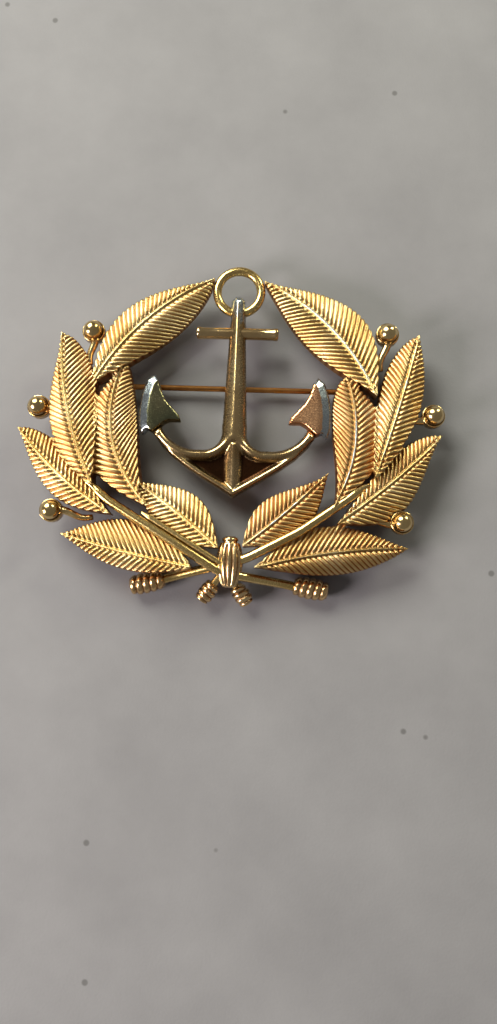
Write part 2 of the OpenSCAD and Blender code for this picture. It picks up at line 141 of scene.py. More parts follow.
world = bpy.data.worlds.new("room_light")
world.use_nodes = True
world.node_tree.nodes["Background"].inputs["Color"].default_value = linear("b4b0aa")
world.node_tree.nodes["Background"].inputs["Strength"].default_value = 0.38
scene.world = world

lens = bpy.data.cameras.new("camera")
lens.sensor_width, lens.lens = 36.0, 27.04
lens.clip_start, lens.clip_end = 0.005, 10.0
camera = bpy.data.objects.new("camera", lens)
camera.location = (5.64 * MM, -23.89 * MM, 114.5 * MM)
camera.rotation_euler = [math.radians(a) for a in (6.40, 1.09, 1.84)]
scene.collection.objects.link(camera)
scene.camera = camera

# ---- Laurel leaves ----
# Each leaf is die-cast gilding brass with deep curved ribs that sweep from a
# raised midrib towards the tip and run down its thick side as a pearled edge.
# The leaves of a spray overlap and are soldered where they touch.

# Gilding brass: bright yellow where it is polished by wear, orange and dull in
# the grooves where polish and cloth never reach, bare grey metal where it is
# rubbed right through, with a fine cast sparkle.
# The groove colour is also laid on as painted shade on steep sides and undersides, and the grey of
# rubbed-through metal as a painted reflection down the backs of the palms.
BARE_METAL_AND_REFLECTION = "a9b2ba"
GROOVE_DULLING = 0.16


def gilt_metal(name, stops, deep_stops, rough, sparkle):
    """Gilt brass from its colour stops on the face and in the grooves and painted shade, its roughness and
    cast sparkle.
    """
    made, tree, shader, where = new_material(name)
    groove_and_shade = add(tree, "ShaderNodeAttribute", {"attribute_name": "groove_and_shade"}).outputs["Fac"]
    wear_and_reflection = add(tree, "ShaderNodeAttribute", {"attribute_name": "wear_and_reflection"}).outputs["Fac"]
    drift = add(tree, "ShaderNodeTexNoise", Vector=where, Scale=160.0, Detail=5.0).outputs[0]
    grit = add(tree, "ShaderNodeTexNoise", Vector=where, Scale=5200.0, Detail=3.0, Roughness=0.7).outputs[0]
    patch = add(tree, "ShaderNodeTexNoise", Vector=where, Scale=900.0, Detail=4.0).outputs[0]
    face = ramp(tree, drift, stops)
    deep = ramp(tree, drift, deep_stops)
    body = add(tree, "ShaderNodeMix", {"data_type": "RGBA"}, i0=groove_and_shade, i6=face, i7=deep).outputs[2]
    ragged = add(tree, "ShaderNodeMath", {"operation": "ADD"}, i0=wear_and_reflection, i1=patch).outputs[0]
    bare_and_reflected = add(tree, "ShaderNodeMapRange", i0=ragged, i1=0.85, i2=1.1, i3=0.0, i4=1.0).outputs[0]
    worn_and_reflected = add(tree, "ShaderNodeMix", {"data_type": "RGBA"}, i0=bare_and_reflected, i6=body, i7=linear(BARE_METAL_AND_REFLECTION))
    tree.links.new(worn_and_reflected.outputs[2], shader.inputs["Base Color"])
    shader.inputs["Metallic"].default_value = 1.0
    dull = add(tree, "ShaderNodeMapRange", i0=grit, i1=0.3, i2=0.7, i3=rough - 0.1, i4=rough + 0.1).outputs[0]
    duller = add(tree, "ShaderNodeMath", {"operation": "MULTIPLY_ADD"}, i0=groove_and_shade, i1=GROOVE_DULLING, i2=dull)
    tree.links.new(duller.outputs[0], shader.inputs["Roughness"])
    cast = add(tree, "ShaderNodeBump", Height=grit, Strength=sparkle, Distance=0.00005)
    tree.links.new(cast.outputs[0], shader.inputs["Normal"])
    return made


FACE_STOPS = [(0.3, "c09e62"), (0.5, "d0b47a"), (0.7, "e2d0a2")]
DEEP_STOPS = [(0.3, "8a4a22"), (0.7, "a0622e")]
gilt = gilt_metal("gilt_cast_brass", FACE_STOPS, DEEP_STOPS, 0.3, 0.8)

SIDES = ("left", "right")
leaf_names = [f"leaf_{side}_{i}" for side in SIDES for i in range(1, 7)]
RIB_PITCH = 0.8 * MM
RIB_STEPS = 8  # rings of points to each rib
RIB_DEPTH = 0.25 * MM
SHOULDER = 0.36 * MM  # radius that rounds a leaf's edge
UNDERLAP = 0.35 * MM  # how far a leaf runs in under the one above
NEIGHBOUR_GAP = 0.25 * MM  # a neighbour nearer than this covers the edge
TUCKED_HEIGHT = 1.2 * MM  # height of a leaf's hidden part, under its neighbour
RIB_LEAN = (0.62, 0.16)  # lean of the ribs at the foot, and what it gains by the tip
RIB_CURVE = 34.0  # how the ribs curve forwards, per metre
CREST = 0.17 * MM  # height of the midrib
CREST_W = 0.24 * MM  # its half-width
DIP = 0.2 * MM  # depth of the valley beside the midrib
DIP_AT = 0.3 * MM
DIP_W = 0.13 * MM
PILLOW = 0.16 * MM  # swell of each half of the leaf
FULL_RELIEF_AT = 1.2 * MM  # half-width from which the relief has its full height


def loose_copy(node):
    """A merged bmesh copy of a CAD node's mesh."""
    made = bmesh.new()
    made.from_mesh(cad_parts[node].data)
    bmesh.ops.remove_doubles(made, verts=made.verts, dist=1e-6)
    return made


def back_outline(solid):
    """The edges round a solid's flat back, as rows of x0, y0, x1, y1."""
    low = min(v.co.z for v in solid.verts)
    flat = {f for f in solid.faces if all(v.co.z < low + 2e-6 for v in f.verts)}
    rim = [e for e in solid.edges if sum(f in flat for f in e.link_faces) == 1]
    return np.array([[*e.verts[0].co.xy, *e.verts[1].co.xy] for e in rim])


def inside(points, edges):
    """Which of the points lie inside an outline."""
    x, y = points[:, 0, None], points[:, 1, None]
    x0, y0, x1, y1 = edges.T
    spans = (y0 > y) != (y1 > y)
    cross = x0 + (y - y0) / np.where(y1 == y0, 1e-12, y1 - y0) * (x1 - x0)
    return (spans & (x < cross)).sum(1) % 2 == 1


solids = {name: loose_copy(name) for name in leaf_names}
outlines = {name: back_outline(solid) for name, solid in solids.items()}
tie_low, tie_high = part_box("tie")
tie_middle = np.array(((tie_low + tie_high) / 2).xy)


def store(made, values):
    """Stores numbers, one for each point of a piece, under their names."""
    for label, numbers in values.items():
        data = made.data.attributes.new(label, "FLOAT", "POINT").data
        data.foreach_set("value", np.asarray(numbers, np.float32))


def stored(made, label):
    """The numbers that a piece's points hold under a name."""
    numbers = np.zeros(len(made.data.vertices))
    made.data.attributes[label].data.foreach_get("value", numbers)
    return numbers


def finish(made, body, replaced):
    """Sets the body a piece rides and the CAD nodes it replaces."""
    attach(made, body)
    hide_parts(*replaced)


def rib_tree():
    """Geometry Nodes: raises rounded ribs, with a narrow sunk furrow between each two, on a swept piece."""
    tree = bpy.data.node_groups.new("raised_ribs", "GeometryNodeTree")
    face = tree.interface
    face.new_socket("Piece", in_out="INPUT", socket_type="NodeSocketGeometry")
    depth = face.new_socket("Rib depth", in_out="INPUT", socket_type="NodeSocketFloat")
    metal = face.new_socket("Metal", in_out="INPUT", socket_type="NodeSocketMaterial")
    face.new_socket("Piece", in_out="OUTPUT", socket_type="NodeSocketGeometry")
    given = add(tree, "NodeGroupInput").outputs
    count = add(tree, "GeometryNodeInputNamedAttribute", Name="rib_count").outputs[0]
    share = add(tree, "GeometryNodeInputNamedAttribute", Name="rib_share").outputs[0]
    part = add(tree, "ShaderNodeMath", {"operation": "FRACT"}, i0=count).outputs[0]
    centred = add(tree, "ShaderNodeMath", {"operation": "MULTIPLY_ADD"}, i0=part, i1=2.0, i2=-1.0).outputs[0]
    squared = add(tree, "ShaderNodeMath", {"operation": "MULTIPLY"}, i0=centred, i1=centred).outputs[0]
    rounded = add(tree, "ShaderNodeMath", {"operation": "POWER"}, i0=squared, i1=1.3).outputs[0]
    sunk = add(tree, "ShaderNodeMath", {"operation": "MULTIPLY"}, i0=rounded, i1=share).outputs[0]
    down = add(tree, "ShaderNodeMath", {"operation": "MULTIPLY"}, i0=sunk, i1=given[1]).outputs[0]
    into = add(tree, "ShaderNodeMath", {"operation": "MULTIPLY"}, i0=down, i1=-1.0).outputs[0]
    normal = add(tree, "GeometryNodeInputNormal").outputs[0]
    shift = add(tree, "ShaderNodeVectorMath", {"operation": "SCALE"}, Vector=normal, Scale=into).outputs[0]
    marked = add(
        tree, "GeometryNodeStoreNamedAttribute", {"data_type": "FLOAT", "domain": "POINT"},
        Geometry=given[0], Name="rib_groove", Value=sunk,
    ).outputs[0]
    moved = add(tree, "GeometryNodeSetPosition", Geometry=marked, Offset=shift).outputs[0]
    whole = add(tree, "GeometryNodeRealizeInstances", Geometry=moved).outputs[0]
    done = add(tree, "GeometryNodeSetMaterial", Geometry=whole, Material=given[2]).outputs[0]
    tree.links.new(done, add(tree, "NodeGroupOutput").inputs[0])
    return tree, depth.identifier, metal.identifier


def run_tree(made, tree, values):
    """Runs a Geometry Nodes tree on an object and keeps the result as its plain mesh."""
    modifier = made.modifiers.new("nodes", "NODES")
    modifier.node_group = tree
    for identifier, value in values.items():
        modifier[identifier] = value
    graph = bpy.context.evaluated_depsgraph_get()
    result = bpy.data.meshes.new_from_object(made.evaluated_get(graph), depsgraph=graph)
    made.modifiers.clear()
    made.data = result
    result.name = made.name


def close_rings(rings):
    """Faces round a row of closed rings, with an end face on each of the two last rings."""
    n = len(rings[0])
    faces = []
    for i in range(len(rings) - 1):
        for k in range(n):
            a, b = i * n + k, i * n + (k + 1) % n
            faces.append((a, b, b + n, a + n))
    faces.append(tuple(range(n))[::-1])
    faces.append(tuple(range((len(rings) - 1) * n, len(rings) * n)))
    return faces


def outward(made):
    """Turns a closed piece's faces to point outwards."""
    mesh = bmesh.new()
    mesh.from_mesh(made.data)
    bmesh.ops.recalc_face_normals(mesh, faces=mesh.faces)
    mesh.to_mesh(made.data)
    mesh.free()


QUARTIC = 1e4  # brings the fourth-power term to the size of the others


def leaf_shape(name):
    """A leaf's foot, directions and length, its midrib's line and its domed top's height, from its solid.

    The line is a parabola through the ridge, and the height a polynomial in the places along and beside
    it. Both are fitted again and again without the points that lie far off, which are cuts and steps.
    """
    solid, outline = solids[name], outlines[name]
    rim = outline[:, :2]
    gaps = np.linalg.norm(rim[:, None] - rim[None], axis=2)
    ends = [rim[i] for i in np.unravel_index(gaps.argmax(), gaps.shape)]
    ends.sort(key=lambda p: np.linalg.norm(p - tie_middle))
    foot, tip = ends
    length = np.linalg.norm(tip - foot)
    along = (tip - foot) / length
    across = np.array([-along[1], along[0]])
    tree = BVHTree.FromBMesh(solid)
    above, wide = 20 * MM, np.arange(-5, 5.01, 0.07) * MM
    found, tops = [], []
    for x in np.arange(0.06, 0.95, 0.03) * length:
        row = []
        for y in wide:
            p = foot + along * x + across * y
            hit = tree.ray_cast(Vector((*p, above)), Vector((0, 0, -1)))
            if hit[0] and hit[1].z > 0.3:
                row.append((y, hit[0].z))
        if len(row) > 12:
            ys, zs = np.array(row).T
            best = zs.argmax()
            if 3 < best < len(ys) - 4:
                found.append((x, ys[best]))
            tops += [(x, y, z) for y, z in row]
    found = np.array(found)
    line = np.polyfit(found[:, 0], found[:, 1], 2)
    for _ in range(4):
        off = np.abs(np.polyval(line, found[:, 0]) - found[:, 1])
        found = found[off < max(0.25 * MM, np.median(off) * 2.5)]
        line = np.polyfit(found[:, 0], found[:, 1], 2)
    tops = np.array(tops)
    v = tops[:, 1] - np.polyval(line, tops[:, 0])
    keep = np.abs(v) > 0.45 * MM
    terms = np.c_[np.ones(keep.sum()), tops[keep, 0], v[keep] ** 2, v[keep] ** 4 * QUARTIC]
    z = tops[keep, 2]
    good = np.ones(len(z), bool)
    for _ in range(6):
        fit = np.linalg.lstsq(terms[good], z[good], rcond=None)[0]
        miss = z - terms @ fit
        good = np.abs(miss) < max(0.04 * MM, np.std(miss[good]))
    return foot, along, across, length, line, fit


def blend(x, start, end):
    """Goes smoothly from 0 at the start to 1 at the end."""
    t = np.clip((x - start) / (end - start), 0, 1)
    return t * t * (3 - 2 * t)


# The midribs that hands have rubbed down to grey metal, and how far
rubbed = {"leaf_right_1": 0.5, "leaf_right_4": 0.42, "leaf_right_2": 0.25, "leaf_right_5": 0.3}


def rib_leaf(name):
    """One leaf, swept from foot to tip as closed rings that follow its ribs."""
    foot, along, across, length, line, fit = leaf_shape(name)
    outline = outlines[name]
    others = np.vstack([outlines[other] for other in leaf_names if other != name])
    back = min(v.co.z for v in solids[name].verts)
    ribs = round(length / RIB_PITCH)
    rows = ribs * RIB_STEPS
    xs = np.linspace(0.002, 0.998, rows + 1) * length
    slope = np.polyval(np.polyder(line), xs)
    ahead = along + slope[:, None] * across
    ahead /= np.linalg.norm(ahead, axis=1)[:, None]
    middle = foot + xs[:, None] * along + np.polyval(line, xs)[:, None] * across
    reach = np.arange(0, 6.6, 0.03) * MM
    sides = []
    for side in (1, -1):
        outwards = side * np.c_[-ahead[:, 1], ahead[:, 0]]
        lean = RIB_LEAN[0] + RIB_LEAN[1] * xs / length

        def spot(v, outwards=outwards, lean=lean):
            forward = lean * v + RIB_CURVE * v * v
            return middle + outwards * v[:, None] + ahead * forward[:, None]

        edge = np.zeros(len(xs))
        for v in reach:
            held = inside(spot(np.full(len(xs), v)), outline)
            edge = np.where(held, v, edge)
        soft = np.convolve(np.pad(edge, 2, mode="edge"), np.ones(5) / 5, "valid")
        covered = inside(spot(soft + NEIGHBOUR_GAP), others)
        sides.append((spot, soft, covered))
    # Places of the columns beside the midrib, and the largest share of a narrow half that each may take
    near = np.array([0.13, 0.22, 0.3, 0.42]) * MM
    near_share = np.array([0.09, 0.17, 0.25, 0.34])

    def top(points, v):
        x = (points - foot) @ along
        return fit[0] + fit[1] * x + fit[2] * v**2 + fit[3] * v**4 * QUARTIC

    def relief(v, room):
        scale = np.minimum(1, room / FULL_RELIEF_AT)
        ridge = CREST * np.maximum(0, 1 - (v / CREST_W) ** 2)
        valley = DIP * np.exp(-(((v - DIP_AT) / DIP_W) ** 2))
        pillow = PILLOW * np.sin(np.pi * np.clip(v / np.maximum(room, 1e-6), 0, 1))
        return (ridge - valley + pillow - PILLOW) * scale

    columns = []
    for spot, edge, covered in sides:
        r = np.minimum(SHOULDER, 0.45 * edge)
        flat = edge - r
        side_columns = []
        steps = [np.minimum(n, s * flat) for n, s in zip(near, near_share)]
        steps += [steps[3] + (flat - steps[3]) * k / 7 for k in range(1, 8)]
        share = np.clip((np.arange(len(steps)) - 1) / 2, 0, 1)
        for v, amount in zip(steps, share):
            p = spot(v)
            z = top(p, v) + relief(v, edge)
            side_columns.append((p, z, np.full(len(xs), amount)))
        z_edge = side_columns[-1][1]
        for turn in (0.35, 0.7, 1.0):
            a = turn * np.pi / 2
            v = flat + np.where(covered, r + UNDERLAP, r) * np.where(covered, turn, np.sin(a))
            z = z_edge - np.where(covered, 0, r * (1 - np.cos(a)))
            side_columns.append((spot(v), z, np.ones(len(xs))))
        end_p, end_z = side_columns[-1][0], side_columns[-1][1]
        for turn, amount in ((0.35, 0.9), (0.7, 0.55), (1.0, 0.15)):
            z = end_z + (back - end_z) * turn
            side_columns.append((end_p, z, np.full(len(xs), amount)))
        columns.append(side_columns)
    none = np.zeros(len(xs))
    ridge_top = (middle, top(middle, none) + relief(none, sides[0][1]), none)
    under = (middle, np.full(len(xs), back), none)
    ring = columns[0][::-1] + [ridge_top] + columns[1] + [under]
    places = np.stack([np.c_[p, z] for p, z, _ in ring], axis=1)
    share = np.stack([s for _, _, s in ring], axis=1)
    flat_points = places.reshape(-1, 3)
    held = inside(flat_points[:, :2], outline)
    buried = inside(flat_points[:, :2], others) & ~held
    sink = buried & (flat_points[:, 2] > back + TUCKED_HEIGHT)
    deep_in = np.array([far_from(p, outline) for p in flat_points[sink][:, :2]])
    z = flat_points[:, 2].copy()
    z[np.flatnonzero(sink)[deep_in > UNDERLAP * 1.6]] = back + TUCKED_HEIGHT
    flat_points[:, 2] = z
    fade = np.minimum(1, np.minimum(np.arange(rows + 1), np.arange(rows + 1)[::-1]) / (RIB_STEPS * 1.5))
    n = places.shape[1]
    made = mesh_object("cast_" + name, flat_points, close_rings([range(n)] * (rows + 1)), gilt)
    outward(made)
    count = np.repeat(np.arange(rows + 1) / RIB_STEPS, n)
    ridge = np.zeros((rows + 1, n))
    ridge[:, len(columns[0])] = 1
    ridge[:, [len(columns[0]) - 1, len(columns[0]) + 1]] = 0.5
    rub = 0.3 + rubbed.get(name, 0) * blend(xs / length, 0.05, 0.2) * (1 - blend(xs / length, 0.6, 0.85))
    faded = (share * fade[:, None]).ravel()
    store(made, {"rib_count": count, "rib_share": faded, "rub": (ridge * rub[:, None]).ravel()})
    return made


def far_from(point, edges):
    """How far a point lies from an outline."""
    a, b = edges[:, :2], edges[:, 2:]
    way = b - a
    t = np.clip(((point - a) * way).sum(1) / np.maximum((way**2).sum(1), 1e-18), 0, 1)
    return np.linalg.norm(a + way * t[:, None] - point, axis=1).min()


def paint(made, groove_and_shade, wear_and_reflection):
    """Stores, for each point of a piece, its depth in the grooves with its painted shade, and how far it is
    rubbed through with its painted reflection.
    """
    store(made, {"groove_and_shade": groove_and_shade, "wear_and_reflection": wear_and_reflection})


def points_of(made):
    """A mesh piece's points and point normals."""
    count = len(made.data.vertices)
    co, no = np.zeros(count * 3), np.zeros(count * 3)
    made.data.vertices.foreach_get("co", co)
    made.data.vertices.foreach_get("normal", no)
    return co.reshape(-1, 3), no.reshape(-1, 3)


# Painted shade: how much darker each leaf is painted, most on the right-hand leaves that catch the least
# light
leaf_shade = {"leaf_right_3": 0.12, "leaf_right_4": 0.28, "leaf_right_5": 0.34, "leaf_right_6": 0.2}
leaf_shade |= {"leaf_left_2": 0.1, "leaf_left_4": 0.18, "leaf_right_2": 0.08}
ribs, depth_id, metal_id = rib_tree()
for name in leaf_names:
    leaf = rib_leaf(name)
    run_tree(leaf, ribs, {depth_id: RIB_DEPTH, metal_id: gilt})
    co, no = points_of(leaf)
    # Painted shade: the steep sides of each leaf, and the shaded leaves all over, take the darker groove
    # colour on top of the ribs' own grooves
    wall = np.clip(1 - no[:, 2] * 1.6, 0, 1)
    groove_and_shade = leaf_shade.get(name, 0) + stored(leaf, "rib_groove") * 0.9 + wall * 0.6
    paint(leaf, np.clip(groove_and_shade, 0, 1), stored(leaf, "rub"))
    finish(leaf, "badge", [name])

# ---- Berries ----
# Each berry is a polished ball set in a shallow turned cup at the end of a
# short stalk that runs down between two leaves. Solid brass, gilt all over.
POLISHED_STOPS = [(0.3, "ccab70"), (0.7, "e4cc98")]
POLISHED_DEEP = [(0.3, "8a5a30"), (0.7, "a8743e")]
polished = gilt_metal("gilt_polished_brass", POLISHED_STOPS, POLISHED_DEEP, 0.17, 0.2)
BALL_R = 1.4 * MM
CUP_R = 1.7 * MM
STALK_R = (0.66 * MM, 0.42 * MM)
STALK_Z = 0.75 * MM
STALK_RINGS = 14
ROUND = 32  # points round a ball or a cup


def ring_of(centre, axis, radius, count, start=None):
    """The points of a circle round an axis, with the angle of each."""
    axis = np.array(axis, float) / np.linalg.norm(axis)
    start = np.array([0, 0, 1.0] if start is None else start, float)
    u = start - axis * (start @ axis)
    u /= np.linalg.norm(u)
    w = np.cross(axis, u)
    angles = np.linspace(0, 2 * np.pi, count, endpoint=False)
    radius = np.broadcast_to(radius, angles.shape)
    return centre + radius[:, None] * (np.cos(angles)[:, None] * u + np.sin(angles)[:, None] * w)


def tube(path, radii, count, start=None):
    """Rings along a path, each square to it."""
    path = np.array(path, float)
    ways = np.gradient(path, axis=0)
    return [ring_of(p, w, r, count, start) for p, w, r in zip(path, ways, radii)]


def joined(name, parts, material):
    """One mesh piece from several closed rows of rings."""
    points, faces = [], []
    for rings in parts:
        faces += [tuple(i + len(points) for i in face) for face in close_rings(rings)]
        points += [p for ring in rings for p in ring]
    made = mesh_object(name, points, faces, material)
    outward(made)
    return made


def node_points(node):
    """A CAD node's points as an array."""
    return np.array([v.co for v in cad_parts[node].data.vertices])


# Shares of the cup's radius and height, up its wall, over its rolled lip and down inside
CUP_PROFILE = [(0.9, 0.0), (1.0, 0.1), (1.0, 0.66), (0.985, 0.78)]
CUP_PROFILE += [(0.94, 0.86), (0.88, 0.85), (0.84, 0.76), (0.8, 0.6)]
UP, ACROSS = (0, 0, 1), (1, 0, 0)
for side in SIDES:
    for i in range(1, 4):
        node = f"berry_{side}_{i}"
        co = node_points(node)
        low, high = co[:, 2].min(), co[:, 2].max()
        centre = co[co[:, 2] > high - 0.05 * MM].mean(0)
        ball_z = high - BALL_R
        far = co[np.linalg.norm(co[:, :2] - centre[:2], axis=1).argmax()]
        cup_h = ball_z - low
        turns = np.linspace(-1.45, 1.55, 22)
        spots = [(ball_z + BALL_R * math.sin(t), BALL_R * math.cos(t)) for t in turns]
        ball = [ring_of((*centre[:2], z), UP, r, ROUND, ACROSS) for z, r in spots]
        cup = [ring_of((*centre[:2], low + cup_h * h), UP, CUP_R * r, ROUND, ACROSS) for r, h in CUP_PROFILE]
        t = np.linspace(0, 1, STALK_RINGS)[:, None]
        way = np.array([*(far[:2] - centre[:2]), 0])
        bend = np.array([-way[1], way[0], 0]) * 0.05
        path = np.array([*centre[:2], low + STALK_Z]) + way * t * 0.97 + bend * np.sin(np.pi * t * 2)
        stalk = tube(path, np.linspace(*STALK_R, STALK_RINGS), 14)
        berry = joined("cast_" + node, [ball, cup, stalk], polished)
        co, no = points_of(berry)
        # Painted shade: every face that turns sideways or down, the cup's wall and the lower half of ball and
        # stalk, takes the darker colour
        inner = np.where(no[:, 2] < 0.2, 0.35, 0.0)
        paint(berry, inner, np.zeros(len(co)))
        finish(berry, "badge", [node])

# ---- Main stems and twigs ----
# The two main stems are round brass wire that tapers into the leaves at the
# top, crosses under the tie and ends in a bound end on the far side. A thin
# twig lies along the upper side of the left one.
stem_gilt = gilt_metal("gilt_drawn_brass", [(0.3, "ccaa66"), (0.7, "e6cc90")], DEEP_STOPS, 0.22, 0.25)


def centre_line(node, count):
    """Points down the middle of a rod-like CAD node, with its half-width at each."""
    co = node_points(node)
    middle = co.mean(0)
    axis = np.linalg.svd(co - middle, full_matrices=False)[2][0]
    if axis[1] > 0:
        axis = -axis
    mesh = loose_copy(node)
    tree = BVHTree.FromBMesh(mesh)
    along = (co - middle) @ axis
    marks = np.linspace(along.min() + 0.08 * MM, along.max() - 0.08 * MM, count)
    across = np.cross(axis, (0, 0, 1.0))
    across /= np.linalg.norm(across)
    up = np.cross(across, axis)
    path, radii = [], []
    for mark in marks:
        base = middle + axis * mark
        found = []
        for way in (across, -across):
            for lift in np.linspace(-1.8, 1.8, 41) * MM:
                hit = tree.ray_cast(Vector(base + up * lift + way * 0.02), Vector(-way))
                if hit[0]:
                    found.append(np.array(hit[0]) - base)
        found = np.array(found)
        x, y = found @ across, found @ up
        path.append(base + across * (x.max() + x.min()) / 2 + up * (y.max() + y.min()) / 2)
        radii.append((x.max() - x.min()) / 2)
    return np.array(path), np.array(radii)


def smooth_path(path, times):
    """Rounds the bends of a path and keeps its two ends."""
    path = path.copy()
    for _ in range(times):
        path[1:-1] = (path[:-2] + 2 * path[1:-1] + path[2:]) / 4
    return path


for node in ("stem_left", "stem_right", "twig_left"):
    path, radii = centre_line(node, 90)
    path = smooth_path(path, 12)
    radius = np.median(radii)
    share = np.linspace(0, 1, len(path))
    start, gain = (0.5, 5) if node == "twig_left" else (0.35, 9)
    taper = np.minimum(1, start + share * gain)
    stem = joined("drawn_" + node, [tube(path, radius * taper, 24)], stem_gilt)
    co, no = points_of(stem)
    # Painted shade on the sides and underside of the wire
    paint(stem, np.clip(0.35 - no[:, 2], 0, 1), np.zeros(len(co)))
    finish(stem, "badge", [node])

for node in ("short_stem_left", "short_stem_right"):
    path, radii = centre_line(node, 16)
    stem = joined("drawn_" + node, [tube(path, np.full(16, np.median(radii)), 20)], stem_gilt)
    co, no = points_of(stem)
    # Painted shade on the sides and underside of the wire
    paint(stem, np.clip(0.35 - no[:, 2], 0, 1), np.zeros(len(co)))
    finish(stem, "badge", [node])

# ---- Bound ends and tie ----
# The cut ends of the stems are bound round and round, and the tie over the
# crossing has ribs down its length. All are cast and gilt, bright on the ribs.
WIND_STOPS = [(0.3, "d2aa74"), (0.7, "ecd0a0")]
WIND_DEEP = [(0.3, "6a3612"), (0.7, "8a4e24")]
wind_gilt = gilt_metal("gilt_bound_brass", WIND_STOPS, WIND_DEEP, 0.2, 0.2)
END_RINGS, END_ROUND = 56, 48


def ribbed(made, count, share, depth):
    """Sinks grooves into a piece by the rib tree, from its rib count and its share of the depth."""
    store(made, {"rib_count": count, "rib_share": share})
    run_tree(made, ribs, {depth_id: depth, metal_id: made.data.materials[0]})
    co, no = points_of(made)
    shade = np.clip(0.1 - no[:, 2], 0, 0.4)
    paint(made, np.clip(stored(made, "rib_groove") * 0.95 + shade, 0, 1), np.zeros(len(co)))


def main_axis(node):
    """The long direction of a node's points."""
    co = node_points(node)
    return np.linalg.svd(co - co.mean(0), full_matrices=False)[2][0]


for node, rod, turns, depth in (
    ("stem_end_left", "stem_right", 5.0, 0.26 * MM),
    ("stem_end_right", "stem_left", 5.0, 0.26 * MM),
    ("short_end_left", "short_stem_left", 3.6, 0.24 * MM),
    ("short_end_right", "short_stem_right", 3.6, 0.24 * MM),
):
    co = node_points(node)
    low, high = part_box(node)
    centre = np.array((low + high) / 2)
    axis = main_axis(node if node.startswith("stem") else rod)
    rod_middle = node_points(rod).mean(0)
    if axis @ (centre - rod_middle) < 0:
        axis = -axis
    if node.startswith("stem"):
        axis[2] = 0
        axis /= np.linalg.norm(axis)
    reach = (co - centre) @ axis
    start, end = reach.min(), reach.max()
    off = (co - centre) - reach[:, None] * axis
    radius = np.linalg.norm(off, axis=1).max()
    t = np.linspace(0, 1, END_RINGS)
    swell = np.clip(1 - (2 * t - 1) ** 2, 0, 1) ** 0.5
    profile = radius * (0.52 + 0.48 * swell**0.7)
    profile[[0, -1]] *= 0.55
    profile[[1, -2]] *= 0.92
    path = centre + axis * (start + (end - start) * t)[:, None]
    rings = [ring_of(p, axis, r, END_ROUND) for p, r in zip(path, profile)]
    bound = joined("bound_" + node, [rings], wind_gilt)
    lean = np.tile(np.linspace(0, 1, END_ROUND, endpoint=False), END_RINGS)
    share = np.repeat(np.clip(np.minimum(t, 1 - t) * 12, 0, 1), END_ROUND)
    ribbed(bound, np.repeat(t * turns, END_ROUND) + lean, share, depth)
    finish(bound, "badge", [node])

# The tie swells in the middle, and a plain collar closes its upper end
COLLAR_FROM, COLLAR_MIDDLE = 0.86, 0.93
low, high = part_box("tie")
centre, span = np.array((low + high) / 2), np.array(high - low)
n, around, lobes = 72, 132, 12
t = np.linspace(0, 1, n)
swell = np.sin(np.pi * (0.12 + 0.76 * t)) ** 0.8
collar = t > COLLAR_FROM
swell[collar] = np.maximum(0.52, 0.62 - 0.16 * np.abs(t[collar] - COLLAR_MIDDLE) / 0.07)
profile = span[0] / 2 * swell / swell.max()
profile[[0, -1]] *= 0.4
profile[[1, -2]] *= 0.8
rings = []
for k in range(n):
    y = low[1] + span[1] * (0.003 + 0.994 * t[k])
    ring = ring_of((centre[0], y, 0), (0, 1, 0), profile[k], around, (0, 0, 1))
    ring[:, 2] = high[2] - span[0] / 2 + ring[:, 2]
    ring[:, 2] = np.maximum(ring[:, 2], low[2])
    rings.append(ring)
tie = joined("ribbed_tie", [rings], wind_gilt)
turn = np.tile(np.arange(around) / around * lobes, n)
share = np.repeat(np.clip(np.minimum(t, COLLAR_FROM - t) * 12, 0, 1), around)
ribbed(tie, turn + 0.5, share, 0.3 * MM)
finish(tie, "badge", ["tie"])

# ---- Anchor ----
# The anchor is a flat brass casting, gilt and buffed: a tapering shank, two
# curved arms with a round inner edge, a hollow facet under each arm at the
# crown, and a palm on the end of each arm.
BUFFED_STOPS = [(0.3, "bc9a68"), (0.7, "dcc294")]
# The anchor's deep colour is near-black painted shade, for its hollow facets, steep faces and undersides
BUFFED_SHADE = [(0.3, "24160e"), (0.7, "402616")]
anchor_gilt = gilt_metal("gilt_buffed_brass", BUFFED_STOPS, BUFFED_SHADE, 0.18, 0.15)


def loops_of(edges):
    """An outline's edges put in order as closed rows of points, the longest first."""

    def key(p):
        return round(p[0] * 1e7), round(p[1] * 1e7)

    after, place = {}, {}
    for x0, y0, x1, y1 in edges:
        for p, q in (((x0, y0), (x1, y1)), ((x1, y1), (x0, y0))):
            after.setdefault(key(p), []).append(key(q))
            place[key(p)] = p
    loops, left = [], dict.fromkeys(place)
    while left:
        start = next(iter(left))
        row, last, here = [], None, start
        while here in left:
            del left[here]
            row.append(place[here])
            ahead = [k for k in after[here] if k != last]
            last, here = here, ahead[0]
        loops.append(np.array(row))
    return sorted(loops, key=len, reverse=True)


def finer(row, step):
    """A closed row of points with its long gaps filled in."""
    out = []
    for a, b in zip(row, np.roll(row, -1, axis=0)):
        parts = max(1, math.ceil(np.linalg.norm(b - a) / step))
        out += [a + (b - a) * k / parts for k in range(parts)]
    return np.array(out)


def gap_to(points, edges):
    """How far each point lies from the nearest of some edges."""
    best = np.full(len(points), 1.0)
    for x0, y0, x1, y1 in edges:
        a, way = np.array([x0, y0]), np.array([x1 - x0, y1 - y0])
        t = np.clip((points - a) @ way / max(way @ way, 1e-18), 0, 1)
        best = np.minimum(best, np.linalg.norm(points - a - t[:, None] * way, axis=1))
    return best


